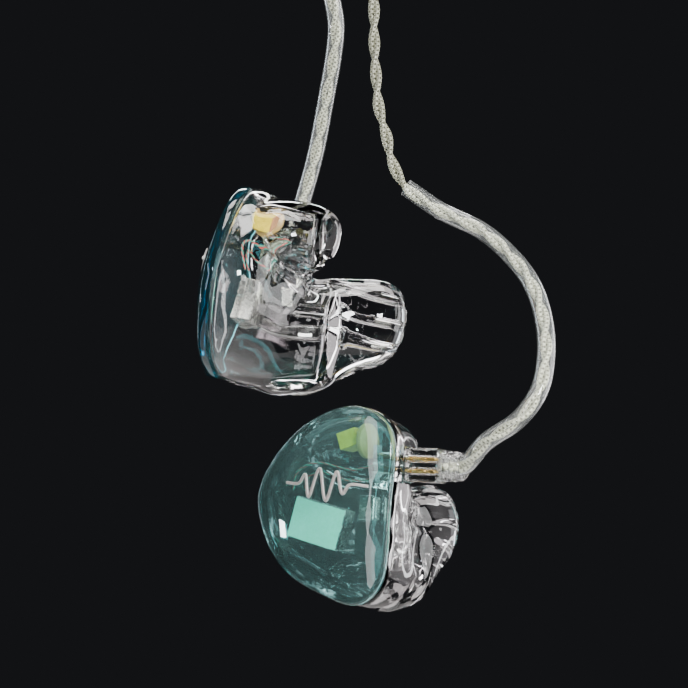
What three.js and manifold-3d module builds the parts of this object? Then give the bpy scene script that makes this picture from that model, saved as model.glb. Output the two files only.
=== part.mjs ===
// A pair of custom in-ear monitors on a shared braided cable, in millimetres, +Z up.
// The set hangs from a peg: the origin is the point where the stored cable coil rests on it.
// Each earpiece is modelled once in its own ear frame (X forward, Y towards the head, Z up),
// placed as the right ear, and mirrored for the left.
import * as THREE from 'three';
import { mergeVertices } from 'three/addons/utils/BufferGeometryUtils.js';
import Module from 'manifold-3d';

const wasm = await Module();
wasm.setup();

// ---------- driving dimensions ----------
const gap = 0.3;                  // clearance between touching pieces
const wall = 1.4;                 // acrylic shell wall

// faceplate outline, forward and up from the ear frame's origin
const plateOutline = [
  [5.2, 15.6], [-3.4, 13.2], [-9.9, 7.0], [-12.4, 0.8], [-10.4, -5.8], [-6.2, -10.8],
  [0.4, -13.9], [7.5, -15.3], [11.2, -12.2], [12.0, 0.0], [11.2, 12.4],
];
const plateCentre = [2, 0];
const plateEdge = 1.5;            // faceplate thickness
const plateDome = 2.7;            // how far the faceplate bows outwards

// the shell's levels from the faceplate to the canal tip:
// depth, share of canal shape above, share below, centre forward, centre up, scale
const shellLevels = [
  [0.0, 0.00, 0.00, 2.0, 0.0, 1.00],
  [3.0, 0.03, 0.00, 2.0, -0.1, 1.01],
  [6.0, 0.26, 0.03, 2.2, -0.7, 1.00],
  [9.0, 0.75, 0.12, 2.8, -2.1, 0.98],
  [12.0, 1.02, 0.32, 3.8, -3.2, 0.96],
  [15.0, 1.00, 0.42, 4.6, -2.9, 0.97],
  [18.5, 1.00, 0.63, 5.2, -2.2, 0.97],
  [22.0, 1.00, 0.82, 5.5, -1.6, 0.97],
  [24.6, 1.00, 0.90, 5.6, -1.5, 0.91],
  [26.4, 1.00, 0.98, 5.6, -1.6, 0.74],
  [27.4, 1.00, 1.00, 5.6, -1.8, 0.46],
];
const canalHalf = [4.9, 7.0];     // half width and half height of the ear canal
const cavityDepth = 19.5;         // the shell is hollow this deep
// the upper lobe that locks under the helix:
// depth, centre forward, centre up, half width, half height
const lobeLevels = [
  [1.5, 1.5, 8.0, 8.4, 5.6],
  [5.0, 1.2, 8.6, 8.9, 5.9],
  [8.5, 1.2, 8.9, 8.6, 5.7],
  [11.6, 1.4, 9.1, 7.3, 4.8],
  [13.9, 1.6, 9.0, 5.1, 3.5],
  [15.1, 1.7, 8.9, 2.4, 1.8],
];
const lobeCavityDepth = 12;

// two-pin socket and plug, along the ear frame's X axis
const socketCentre = [4.5, 7.1];  // depth and height of the plug's axis
const socketFace = 11.6;          // where the plug meets the socket
const socketSize = [5.2, 3.6, 5.6];
const pinPitch = 1.9;
const pinRadius = 0.39;
const pinReach = 4.2;
const contactRadius = 0.62;
const plugLength = 6.2;
const plugSize = [3.6, 5.3];
const collarLength = 3.4;
const collarRadius = 2.4;

// drivers: width, height, thickness
const bassDriver = [9.4, 6.6, 3.0];
const midDriver = [3.0, 6.2, 5.4];
const trebleDriver = [2.8, 3.9, 2.2];
const bassTilt = THREE.MathUtils.degToRad(12);
const capacitorSize = [3.4, 3.8, 2.7];
const capacitorTurn = THREE.MathUtils.degToRad(-20);
const boardRadius = 2.7;
const boardThickness = 0.8;
const wireRadius = 0.17;
const boreRadius = 1.25;
const tubeOuter = 0.95;
const tubeInner = 0.6;
const damperLength = 1.8;
const tipBores = [1.6, -1.6, -4.8];
const canalMiddle = 5.5;          // forward position of the bores

// leads, ear hooks and the main cable
const leadRadius = 0.95;
const hookOuter = 1.4;
const hookInner = 1.18;
const collarHole = hookOuter + 0.5;
const cableRadius = 1.2;
const rightHookRoute = [
  [20.7, -17.0, -157.4], [25.5, -19.5, -153.8], [28.5, -19.5, -149.6], [29.8, -17.5, -144.0],
  [29.6, -14.5, -138.0], [28.1, -11.5, -132.9], [25.2, -9.0, -128.7], [20.8, -6.5, -124.6],
  [14.4, -4.5, -121.3], [9.0, -3.0, -117.5],
];
const rightLeadRoute = [
  [6.7, -2.5, -113.2], [5.8, -2.0, -109.0], [4.7, -1.5, -104.9], [4.2, -1.0, -99.5],
  [3.9, -0.7, -93.9], [3.8, -0.4, -87.1], [2.9, 0.0, -78.0], [1.7, 0.0, -70.0],
];
const leftHookRoute = [
  [-10.0, 17.0, -125.8], [-9.5, 19.6, -122.6], [-8.0, 20.8, -117.6], [-5.8, 18.6, -109.8],
  [-4.1, 15.4, -101.5], [-2.6, 11.6, -93.4], [-2.3, 9.6, -89.2], [-2.9, 7.8, -85.6],
  [-4.2, 5.8, -79.3], [-4.7, 4.0, -73.2],
];
const leftLeadRoute = [[-4.2, 2.2, -69.4], [-2.6, 0.7, -66.0]];
const leadSpacing = 1.4;          // each lead's distance from the centre line in the slider

const sliderLength = 10;
const sliderRadius = 2.9;
const sliderBottom = -58;

const coilRadius = 15;            // middle of the stored coil's turns
const bundleRadius = 5.2;
const coilCentre = -(coilRadius - bundleRadius);
const tieInner = 5.9;
const tieOuter = 6.7;
const tieWidth = 6;
const tieAngle = 120;

const splitRadius = 2.6;
const splitLength = 12;

const jackX = -21.9;
const jackTop = -24;
const reliefLength = 8;
const reliefRadius = 2.1;
const barrelLength = 17;
const barrelRadius = 3.9;
const jackRadius = 1.75;
const sleeveLength = 4.9;
const ringLength = 1.9;
const bandLength = 0.7;           // each insulating band between the contacts
const coreRadius = 1.1;

// ---------- where each earpiece is ----------
const rightPlace = new THREE.Matrix4()
  .makeTranslation(-3.5, -6, -167.9)
  .multiply(new THREE.Matrix4().makeRotationZ(THREE.MathUtils.degToRad(-32)))
  .multiply(new THREE.Matrix4().makeRotationX(THREE.MathUtils.degToRad(-8)));
const leftPlace = new THREE.Matrix4()
  .makeTranslation(-18.8, -8, -132.9)
  .multiply(new THREE.Matrix4().makeRotationY(THREE.MathUtils.degToRad(11)))
  .multiply(new THREE.Matrix4().makeRotationZ(THREE.MathUtils.degToRad(82)))
  .multiply(new THREE.Matrix4().makeScale(1, -1, 1));

// ---------- materials ----------
function finish(color, roughness, metalness) {
  return new THREE.MeshStandardMaterial({ color, roughness, metalness });
}
const finishes = {
  acrylic: () => finish(0xe6e9ea, 0.05, 0),
  plate: () => finish(0x2f6f74, 0.06, 0),
  inlay: () => finish(0x9c8a88, 0.3, 1),
  gold: () => finish(0xe0b24a, 0.25, 1),
  steel: () => finish(0xc4c8c8, 0.25, 1),
  mint: () => finish(0x9fd9c4, 0.35, 0.2),
  socket: () => finish(0xb9b29a, 0.4, 0),
  capacitor: () => finish(0xe3b33c, 0.4, 0),
  board: () => finish(0x2f6b3c, 0.5, 0),
  tube: () => finish(0xdfe3e0, 0.2, 0),
  red: () => finish(0xa8322c, 0.4, 0),
  green: () => finish(0x2f7a4a, 0.4, 0),
  lead: () => finish(0xbdbfae, 0.45, 0.3),
  black: () => finish(0x17181a, 0.5, 0),
};

// ---------- shape helpers ----------
const part = new THREE.Group();

function addMesh(group, name, geometry, material) {
  const mesh = new THREE.Mesh(geometry, material);
  mesh.name = name;
  group.add(mesh);
  return mesh;
}

function toSolid(geometry) {
  const bare = geometry.clone();
  bare.deleteAttribute('normal');
  bare.deleteAttribute('uv');
  const merged = mergeVertices(bare, 1e-4);
  return new wasm.Manifold(new wasm.Mesh({
    numProp: 3,
    vertProperties: new Float32Array(merged.attributes.position.array),
    triVerts: new Uint32Array(merged.index.array),
  }));
}

function toGeometry(solid) {
  const mesh = solid.getMesh();
  const geometry = new THREE.BufferGeometry();
  geometry.setAttribute('position', new THREE.BufferAttribute(mesh.vertProperties, 3));
  geometry.setIndex(new THREE.BufferAttribute(mesh.triVerts, 1));
  return geometry;
}

// six times the volume inside a list of triangles: negative when they face inwards
function signedVolume(points, faces) {
  let sum = 0;
  for (let i = 0; i < faces.length; i += 3) {
    const [a, b, c] = [points[faces[i]], points[faces[i + 1]], points[faces[i + 2]]];
    sum += a.dot(b.clone().cross(c));
  }
  return sum;
}

// joins rings of points into one closed skin, with a fan over each end
function loft(rings) {
  const count = rings[0].length;
  const points = rings.flat();
  const faces = [];
  for (let r = 0; r + 1 < rings.length; r++) {
    for (let i = 0; i < count; i++) {
      const a = r * count + i;
      const b = r * count + (i + 1) % count;
      faces.push(a, b, a + count, b, b + count, a + count);
    }
  }
  const centre = (ring) => ring
    .reduce((sum, p) => sum.add(p), new THREE.Vector3())
    .divideScalar(count);
  const first = points.length;
  points.push(centre(rings[0]), centre(rings.at(-1)));
  const last = (rings.length - 1) * count;
  for (let i = 0; i < count; i++) {
    const next = (i + 1) % count;
    faces.push(first, next, i, first + 1, last + i, last + next);
  }
  if (signedVolume(points, faces) < 0) {
    faces.reverse();
  }
  const geometry = new THREE.BufferGeometry().setFromPoints(points);
  geometry.setIndex(faces);
  return geometry;
}

// a flat shape swept along a smooth curve through the given points
function sweep(route, shape, steps) {
  const path = new THREE.CatmullRomCurve3(route.map((p) => new THREE.Vector3(...p)));
  return new THREE.ExtrudeGeometry(shape, { steps, extrudePath: path, bevelEnabled: false });
}

function disc(radius, sides, holeRadius = 0) {
  const around = (r) => Array.from({ length: sides }, (_, i) => {
    const angle = (2 * Math.PI * i) / sides;
    return new THREE.Vector2(r * Math.cos(angle), r * Math.sin(angle));
  });
  const shape = new THREE.Shape(around(radius));
  if (holeRadius) {
    shape.holes.push(new THREE.Path(around(holeRadius)));
  }
  return shape;
}

// a rod, or a tube with a hole, from one point along one axis
function rod(start, axis, length, radius, sides = 12, holeRadius = 0) {
  const geometry = new THREE.ExtrudeGeometry(disc(radius, sides, holeRadius), {
    depth: length, bevelEnabled: false,
  });
  const turn = new THREE.Quaternion().setFromUnitVectors(
    new THREE.Vector3(0, 0, 1), new THREE.Vector3(...axis));
  return geometry.applyQuaternion(turn).translate(...start);
}

function box(size, centre) {
  return new THREE.BoxGeometry(...size).translate(...centre);
}

// a box with rounded upright edges, extruded along Y
function can([width, height, thickness], corner, centre) {
  const x = width / 2;
  const z = height / 2;
  const shape = new THREE.Shape();
  shape.moveTo(-x + corner, -z);
  shape.lineTo(x - corner, -z);
  shape.absarc(x - corner, -z + corner, corner, -Math.PI / 2, 0);
  shape.absarc(x - corner, z - corner, corner, 0, Math.PI / 2);
  shape.absarc(-x + corner, z - corner, corner, Math.PI / 2, Math.PI);
  shape.absarc(-x + corner, -z + corner, corner, Math.PI, 1.5 * Math.PI);
  return new THREE.ExtrudeGeometry(shape, { depth: thickness, bevelEnabled: false, curveSegments: 3 })
    .rotateX(Math.PI / 2)
    .translate(centre[0], centre[1] + thickness / 2, centre[2]);
}

// ---------- ear shape ----------
const plateCurve = new THREE.CatmullRomCurve3(
  plateOutline.map(([f, u]) => new THREE.Vector3(f - plateCentre[0], u - plateCentre[1], 0)), true);
const plateSamples = plateCurve.getPoints(240)
  .map((p) => [Math.atan2(p.y, p.x), Math.hypot(p.x, p.y)])
  .sort((a, b) => a[0] - b[0]);

// the faceplate outline's distance from its centre in the direction of an angle
function plateRadius(angle) {
  const wrapped = Math.atan2(Math.sin(angle), Math.cos(angle));
  const high = plateSamples.findIndex((s) => s[0] >= wrapped);
  if (high <= 0) {
    return plateSamples[0][1];
  }
  const [a, b] = [plateSamples[high - 1], plateSamples[high]];
  return THREE.MathUtils.mapLinear(wrapped, a[0], b[0], a[1], b[1]);
}

function shellRing([depth, above, below, forward, up, scale], inset, count) {
  return Array.from({ length: count }, (_, i) => {
    const angle = (2 * Math.PI * i) / count;
    const share = THREE.MathUtils.lerp(below, above, (1 + Math.sin(angle)) / 2);
    const canal = 1 / Math.hypot(Math.cos(angle) / canalHalf[0], Math.sin(angle) / canalHalf[1]);
    const radius = scale * THREE.MathUtils.lerp(plateRadius(angle), canal, share) - inset;
    return new THREE.Vector3(forward + radius * Math.cos(angle), depth, up + radius * Math.sin(angle));
  });
}

function lobeRing([depth, forward, up, halfWidth, halfHeight], inset, count) {
  return Array.from({ length: count }, (_, i) => {
    const angle = (2 * Math.PI * i) / count;
    return new THREE.Vector3(
      forward + (halfWidth - inset) * Math.cos(angle), depth, up + (halfHeight - inset) * Math.sin(angle));
  });
}

// the levels down to a depth, closed off at that depth
function cutLevels(levels, depth) {
  const kept = levels.filter((level) => level[0] < depth);
  const a = kept.at(-1);
  const b = levels[kept.length];
  const t = (depth - a[0]) / (b[0] - a[0]);
  return [...kept, a.map((value, i) => THREE.MathUtils.lerp(value, b[i], t))];
}

function shell() {
  const sides = 27;
  const body = toSolid(loft(shellLevels.map((level) => shellRing(level, 0, sides))));
  const lobe = toSolid(loft(lobeLevels.map((level) => lobeRing(level, 0, 16))));
  const cavityLevels = cutLevels(shellLevels, cavityDepth);
  cavityLevels[0] = [-1, ...cavityLevels[0].slice(1)];
  const cavity = toSolid(loft(cavityLevels.map((level) => shellRing(level, wall, sides))));
  const lobeCavity = toSolid(loft(
    cutLevels(lobeLevels, lobeCavityDepth).map((level) => lobeRing(level, wall, 16))));
  const window = toSolid(box(
    [8, socketSize[1] + 2 * gap, socketSize[2] + 2 * gap], [12, socketCentre[0], socketCentre[1]]));
  let solid = body.add(lobe).subtract(cavity).subtract(lobeCavity).subtract(window);
  for (const height of tipBores) {
    const bore = rod([canalMiddle, cavityDepth - 2, height], [0, 1, 0], 12, boreRadius, 10);
    solid = solid.subtract(toSolid(bore));
  }
  return toGeometry(solid);
}

// depth of the faceplate's outer face at a point of its outline's plane
function domeDepth(forward, up) {
  const x = forward - plateCentre[0];
  const z = up - plateCentre[1];
  const share = Math.hypot(x, z) / plateRadius(Math.atan2(z, x));
  return -gap - plateEdge - plateDome * (1 - share * share);
}

function faceplate() {
  const sides = 27;
  const shares = [0.12, 0.35, 0.6, 0.82, 1];
  const ring = (share, lift) => Array.from({ length: sides }, (_, i) => {
    const angle = (2 * Math.PI * i) / sides;
    const radius = share * plateRadius(angle);
    const x = plateCentre[0] + radius * Math.cos(angle);
    const z = plateCentre[1] + radius * Math.sin(angle);
    return new THREE.Vector3(x, domeDepth(x, z) + lift, z);
  });
  const outer = shares.map((share) => ring(share, 0));
  const inner = shares.toReversed().map((share) => ring(share, plateEdge));
  return loft([...outer, ...inner]);
}

// a thin metal pulse-wave line laid on the faceplate
const inlayWidth = 0.42;
const inlayThickness = 0.3;
const inlayLine = [
  [-5.6, 3.0], [-3.0, 3.0], [-2.0, 4.4], [-0.8, 0.9], [0.7, 5.4], [2.5, 0.4], [4.0, 5.0],
  [5.3, 1.6], [6.3, 3.0], [9.2, 3.0],
];

function inlay() {
  const curve = new THREE.CatmullRomCurve3(inlayLine.map(([f, u]) => new THREE.Vector3(f, u, 0)));
  const rings = [];
  const steps = 60;
  for (let i = 0; i <= steps; i++) {
    const p = curve.getPointAt(i / steps);
    const t = curve.getTangentAt(i / steps);
    const corner = (side, lift) => {
      const x = p.x - side * t.y * inlayWidth / 2;
      const z = p.y + side * t.x * inlayWidth / 2;
      return new THREE.Vector3(x, domeDepth(x, z) - 0.12 - lift, z);
    };
    rings.push([corner(-1, 0), corner(-1, inlayThickness), corner(1, inlayThickness), corner(1, 0)]);
  }
  return loft(rings);
}

// ---------- pieces of one earpiece ----------
function earpiece(side, place) {
  const group = new THREE.Group();
  group.applyMatrix4(place);
  const add = (name, geometry, look) => addMesh(group, `${side}_${name}`, geometry, finishes[look]());
  const [plugDepth, plugHeight] = socketCentre;
  const pinHeights = [plugHeight - pinPitch / 2, plugHeight + pinPitch / 2];
  const socketBack = socketFace - gap - socketSize[0];

  add('shell', shell(), 'acrylic');
  add('faceplate', faceplate(), 'plate');
  add('inlay', inlay(), 'inlay');

  let socket = toSolid(box(socketSize, [socketFace - gap - socketSize[0] / 2, plugDepth, plugHeight]));
  for (const height of pinHeights) {
    const hole = rod([5, plugDepth, height], [1, 0, 0], 10, contactRadius + 0.15);
    socket = socket.subtract(toSolid(hole));
  }
  add('socket_body', toGeometry(socket), 'socket');
  pinHeights.forEach((height, i) => {
    add(`socket_contact_${i + 1}`,
      rod([socketBack - 0.4, plugDepth, height], [1, 0, 0], 5.4, contactRadius, 10, pinRadius + 0.1), 'gold');
  });

  add('bass_driver', can(bassDriver, 0.7, [0, 0, 0]).rotateY(bassTilt).translate(-3.4, 4.1, -2.9), 'mint');
  add('mid_driver', can(midDriver, 0.5, [3.9, 7.4, -5.4]), 'steel');
  add('treble_driver', can(trebleDriver, 0.4, [1.9, 9.4, 0.1]), 'steel');
  add('crossover_board', rod([4.6, 2.6, 10.4], [1, 0, 0], boardThickness, boardRadius, 20), 'board');
  add('capacitor',
    box(capacitorSize, [0, 0, 0]).rotateY(capacitorTurn).translate(2.3, 2.9, 10.5), 'capacitor');

  // each sound tube runs from its driver into a straight bore in the canal tip
  const tubeStarts = {
    treble_tube: [[2.6, 10.9, 0.4], [3.8, 13.6, 0.6]],
    mid_tube: [[4.2, 10.6, -3.6], [4.8, 13.6, -3.0]],
    bass_tube: [[-4.4, 6.4, -5.6], [-2.8, 9.0, -6.2], [1.4, 13.0, -5.9]],
  };
  Object.entries(tubeStarts).forEach(([name, start], i) => {
    const straight = [17.6, 21.0, 26.0].map((depth) => [canalMiddle, depth, tipBores[i]]);
    add(name, sweep([...start, ...straight], disc(tubeOuter, 7, tubeInner), 8), 'tube');
  });
  for (const [name, height] of [['mid_damper', tipBores[1]], ['bass_damper', tipBores[2]]]) {
    add(name, rod([canalMiddle, 22.8, height], [0, 1, 0], damperLength, tubeInner - 0.15, 10), 'steel');
  }

  const wireShape = disc(wireRadius, 5);
  add('red_wire', sweep([
    [socketBack - 0.6, plugDepth, pinHeights[1]], [4.2, 6.9, 7.4], [1.0, 4.6, 6.0], [-3.4, 2.0, 6.6],
    [-7.2, 2.2, 5.0], [-8.6, 3.4, 2.2]], wireShape, 20), 'red');
  add('green_wire', sweep([
    [socketBack - 0.6, plugDepth, pinHeights[0]], [3.8, 5.4, 4.6], [0.2, 3.4, 4.4], [-3.0, 2.4, 5.2],
    [-5.4, 2.6, 4.2], [-6.4, 3.4, 2.3]], wireShape, 20), 'green');
  part.add(group);
}

// ---------- the plug on each lead, in the ear frame it fits ----------
function plug(side, place) {
  const group = new THREE.Group();
  group.applyMatrix4(place);
  const add = (name, geometry, look) => addMesh(group, `${side}_${name}`, geometry, finishes[look]());
  const [depth, height] = socketCentre;
  const pinHeights = [height - pinPitch / 2, height + pinPitch / 2];

  let housing = toSolid(box([plugLength, ...plugSize], [socketFace + plugLength / 2, depth, height]));
  for (const pin of pinHeights) {
    const hole = rod([socketFace - 1, depth, pin], [1, 0, 0], 6.4, pinRadius + 0.2);
    housing = housing.subtract(toSolid(hole));
  }
  add('plug_housing', toGeometry(housing), 'acrylic');
  pinHeights.forEach((pin, i) => {
    add(`plug_pin_${i + 1}`,
      rod([socketFace - pinReach, depth, pin], [1, 0, 0], pinReach + 5.2, pinRadius, 10), 'gold');
  });
  add('plug_collar',
    rod([socketFace + plugLength + gap, depth, height],
      [1, 0, 0], collarLength, collarRadius, 16, collarHole),
    'acrylic');
  part.add(group);
}

// a point on the plug's axis, measured from the back of its housing
function plugExit(place, along) {
  const [depth, height] = socketCentre;
  return new THREE.Vector3(socketFace + plugLength + along, depth, height).applyMatrix4(place).toArray();
}

function hookAndLead(side, place, hookRoute, leadRoute, x) {
  const inside = [gap, collarLength / 2, collarLength].map((along) => plugExit(place, along));
  const top = coilCentre - coilRadius - bundleRadius - gap;
  addMesh(part, `${side}_ear_hook`,
    sweep([...inside, ...hookRoute], disc(hookOuter, 8, hookInner), 22), finishes.tube());
  addMesh(part, `${side}_lead`,
    sweep([...inside, ...hookRoute, ...leadRoute, [x, 0, sliderBottom - 5], [x, 0, sliderBottom],
      [x, 0, sliderBottom + 14], [x, 0, top]], disc(leadRadius, 8), 46), finishes.lead());
}

// ---------- what is on the cable ----------
function chinSlider() {
  let slider = toSolid(rod([0, 0, sliderBottom], [0, 0, 1], sliderLength, sliderRadius, 24));
  for (const side of [-1, 1]) {
    const hole = rod(
      [side * leadSpacing, 0, sliderBottom - 1], [0, 0, 1], sliderLength + 2, leadRadius + gap);
    slider = slider.subtract(toSolid(hole));
  }
  return toGeometry(slider);
}

function storedCoil() {
  const profile = disc(bundleRadius, 12).getPoints()
    .map((p) => new THREE.Vector2(p.x + coilRadius, p.y));
  profile.push(profile[0].clone());
  return new THREE.LatheGeometry(profile, 40).translate(0, 0, coilCentre);
}

function coilTie() {
  const angle = THREE.MathUtils.degToRad(tieAngle);
  const middle = [coilRadius * Math.cos(angle), 0, coilCentre + coilRadius * Math.sin(angle)];
  const along = [-Math.sin(angle), 0, Math.cos(angle)];
  const start = middle.map((value, i) => value - along[i] * tieWidth / 2);
  return rod(start, along, tieWidth, tieOuter, 24, tieInner);
}

function cableParts() {
  addMesh(part, 'chin_slider', chinSlider(), finishes.black());
  addMesh(part, 'cable_coil', storedCoil(), finishes.lead());
  addMesh(part, 'coil_tie', coilTie(), finishes.black());
  const splitX = coilRadius + bundleRadius + gap + splitRadius;
  addMesh(part, 'y_split',
    rod([splitX, 0, coilCentre - splitLength / 2], [0, 0, 1], splitLength, splitRadius, 20),
    finishes.steel());
}

function jack() {
  const down = [0, 0, -1];
  const add = (name, z, length, radius, look, hole = 0) =>
    addMesh(part, name, rod([jackX, 0, z], down, length, radius, 20, hole), finishes[look]());
  addMesh(part, 'cable_tail',
    rod([jackX, 0, coilCentre], down, coilCentre - jackTop - gap, cableRadius, 8), finishes.lead());
  add('jack_strain_relief', jackTop, reliefLength, reliefRadius, 'black');
  const barrelTop = jackTop - reliefLength - gap;
  add('jack_barrel', barrelTop, barrelLength, barrelRadius, 'steel');
  const sleeveTop = barrelTop - barrelLength - gap;
  const ringTop = sleeveTop - sleeveLength - gap - bandLength - gap;
  const tipTop = ringTop - ringLength - gap - bandLength - gap;
  let core = toSolid(rod([jackX, 0, sleeveTop], down, sleeveTop - tipTop + 1.8, coreRadius, 16));
  for (const below of [ringTop, tipTop]) {
    core = core.add(toSolid(rod([jackX, 0, below + gap + bandLength], down, bandLength, jackRadius, 16)));
  }
  addMesh(part, 'jack_insulator', toGeometry(core), finishes.black());
  add('jack_sleeve', sleeveTop, sleeveLength, jackRadius, 'gold', coreRadius + 0.25);
  add('jack_ring', ringTop, ringLength, jackRadius, 'gold', coreRadius + 0.25);
  const tip = new THREE.LatheGeometry([
    [0, -13.9], [0.5, -13.7], [1.3, -12.9], [1.5, -12.1], [1.15, -11.6], [1.6, -10.8], [1.6, -9.4],
    [1.35, -9.4], [1.35, -11.3], [0.7, -11.9], [0, -11.9],
  ].map(([r, z]) => new THREE.Vector2(r, z)), 16).rotateX(Math.PI / 2).translate(jackX, 0, sleeveTop);
  addMesh(part, 'jack_tip', tip, finishes.gold());
}

earpiece('right', rightPlace);
earpiece('left', leftPlace);
plug('right', rightPlace);
plug('left', leftPlace);
hookAndLead('right', rightPlace, rightHookRoute, rightLeadRoute, leadSpacing);
hookAndLead('left', leftPlace, leftHookRoute, leftLeadRoute, -leadSpacing);
cableParts();
jack();

export default part;
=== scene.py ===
import math
import bmesh
import bpy
from mathutils import Matrix, Vector, noise


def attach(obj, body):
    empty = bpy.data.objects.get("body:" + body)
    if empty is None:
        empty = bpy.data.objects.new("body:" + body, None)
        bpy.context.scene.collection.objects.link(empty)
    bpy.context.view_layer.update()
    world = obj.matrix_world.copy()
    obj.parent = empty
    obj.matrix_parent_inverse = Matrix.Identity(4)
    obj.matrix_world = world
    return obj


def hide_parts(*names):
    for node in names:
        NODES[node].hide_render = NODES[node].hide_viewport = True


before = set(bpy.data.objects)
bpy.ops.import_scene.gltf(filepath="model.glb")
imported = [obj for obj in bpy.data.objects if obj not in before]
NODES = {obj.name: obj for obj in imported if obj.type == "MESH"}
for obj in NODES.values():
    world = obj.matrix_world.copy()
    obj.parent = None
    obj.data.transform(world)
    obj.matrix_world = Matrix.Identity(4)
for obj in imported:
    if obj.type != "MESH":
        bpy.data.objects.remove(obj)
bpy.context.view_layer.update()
MM = 0.001

# ---------- where the two earpieces are: X forward, Y towards the head, Z up ----------
RIGHT = (Matrix.Translation((-3.5, -6, -167.9))
         @ Matrix.Rotation(math.radians(-32), 4, "Z")
         @ Matrix.Rotation(math.radians(-8), 4, "X"))
LEFT = (Matrix.Translation((-18.8, -8, -132.9))
        @ Matrix.Rotation(math.radians(11), 4, "Y")
        @ Matrix.Rotation(math.radians(82), 4, "Z")
        @ Matrix.Diagonal((1, -1, 1, 1)))
PLACES = {"right": RIGHT, "left": LEFT}

# ---------- driving dimensions, in millimetres ----------
WALL = 1.4
PLATE_OUTLINE = [
    (5.2, 15.6), (-3.4, 13.2), (-9.9, 7.0), (-12.4, 0.8), (-10.4, -5.8), (-6.2, -10.8),
    (0.4, -13.9), (7.5, -15.3), (11.2, -12.2), (12.0, 0.0), (11.2, 12.4),
]
PLATE_CENTRE = (2.0, 0.0)
PLATE_EDGE = 1.5
PLATE_DOME = 2.7
PLATE_GAP = 0.3
CANAL_HALF = (4.9, 7.0)
CANAL_MIDDLE = 5.5
TIP_BORES = (1.6, -1.6, -4.8)
# rings of the shell: depth, share of canal shape above, share below, centre forward,
# centre up, scale
SHELL_LEVELS = [
    (0.0, 0.00, 0.00, 2.0, 0.0, 1.00),
    (3.0, 0.03, 0.00, 2.0, -0.1, 1.01),
    (6.0, 0.26, 0.03, 2.2, -0.7, 1.00),
    (9.0, 0.75, 0.12, 2.8, -2.1, 0.98),
    (12.0, 1.02, 0.32, 3.8, -3.2, 0.96),
    (15.0, 1.00, 0.42, 4.6, -2.9, 0.97),
    (18.5, 1.00, 0.63, 5.2, -2.2, 0.97),
    (22.0, 1.00, 0.82, 5.5, -1.6, 0.97),
    (24.6, 1.00, 0.90, 5.6, -1.5, 0.91),
    (26.4, 1.00, 0.98, 5.6, -1.6, 0.74),
    (27.4, 1.00, 1.00, 5.6, -1.8, 0.46),
]
SHELL_TIP = (27.75, 1.0, 1.0, 5.6, -1.8, 0.18)
# rings of the helix lobe: depth, centre forward, centre up, half width, half height
LOBE_LEVELS = [
    (1.5, 1.5, 8.0, 8.4, 5.6),
    (5.0, 1.2, 8.6, 8.9, 5.9),
    (8.5, 1.2, 8.9, 8.7, 5.9),
    (11.6, 1.5, 9.2, 8.0, 5.6),
    (13.6, 1.7, 9.6, 6.0, 4.4),
    (15.1, 1.8, 10.0, 3.2, 2.5),
]
LOBE_TIP = (15.6, 1.8, 10.0, 0.6, 0.5)
# voxel size and rounds of smoothing
OUTER_SKIN = (0.30, 30)
INNER_SKIN = (0.36, 45)
# the hollow, and the stepped bores that hold the ends of the sound tubes
HOLLOW_END = 17.5
HOLLOW_ROUNDING = 3.0
LOBE_HOLLOW_END = 12.4
BORE_START = 14.6
BORE_PROFILE = [(0, 1.1), (3.6, 1.1), (3.9, 0.75), (13, 0.75)]
TUBE_END = 17.6
TUBE_OUTER = 0.95
TUBE_INNER = 0.6
SOCKET = (4.5, 7.1)
SOCKET_FACE = 11.6
SOCKET_SIZE = (5.2, 3.6, 5.6)
PIN_PITCH = 1.9
PLUG_LENGTH = 6.2
COLLAR_LENGTH = 3.4
PIN_REACH = 4.2
PIN_HOLE = 0.62
DRIVER_SIZES = {"bass": (9.4, 6.6, 3.0), "mid": (3.0, 6.2, 5.4), "treble": (2.8, 3.9, 2.2)}
DRIVER_PLACES = {"bass": (-3.4, 4.1, -2.9), "mid": (3.9, 7.4, -5.4), "treble": (1.9, 9.4, 0.1)}
BASS_TILT = math.radians(12)
BOARD_PLACE = (4.6, 2.6, 10.4)
CAPACITOR_SIZE = (3.4, 3.8, 2.7)
CAPACITOR_PLACE = (2.3, 2.9, 10.5)
CAPACITOR_TURN = math.radians(-20)
BAND_FROM = 1.3

# cords: real lengths in metres, the rest in millimetres
LEAD_STRAND = 0.48
LEAD_TWIST = 0.46
LEAD_PITCH = 10.5
CABLE_STRAND = 0.52
CABLE_TWIST = 0.66
CABLE_PITCH = 9.0
WIRE_STRAND = 0.085
WIRE_PITCH = 2.0
HOOK_OUTER = 1.4
HOOK_INNER = 1.15
LEAD_SPACING = 1.4
SLIDER_BOTTOM = -58.0
SLIDER_LENGTH = 10.0
SLIDER_HOLE = 1.25
COIL_RADIUS = 15.0
COIL_CENTRE = -9.8
SPLIT_X = 23.1
JACK_X = -21.9
STRAP_ANGLE = 120
STRAP_RADIUS = 5.9
# places in the coil's section: outwards from its mean radius, across it
LEAD_INNER = (2.165, 2.5)
LEAD_OUTER = (4.33, 1.25)
CABLE_SLOTS = [(-4.33, 1.25), (-4.33, -1.25), (-2.165, -2.5), (-2.165, 0), (-2.165, 2.5),
               (0, 3.75), (0, 1.25), (0, -1.25), (0, -3.75)]
CABLE_START = 115
CABLE_TURN = 320

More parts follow.
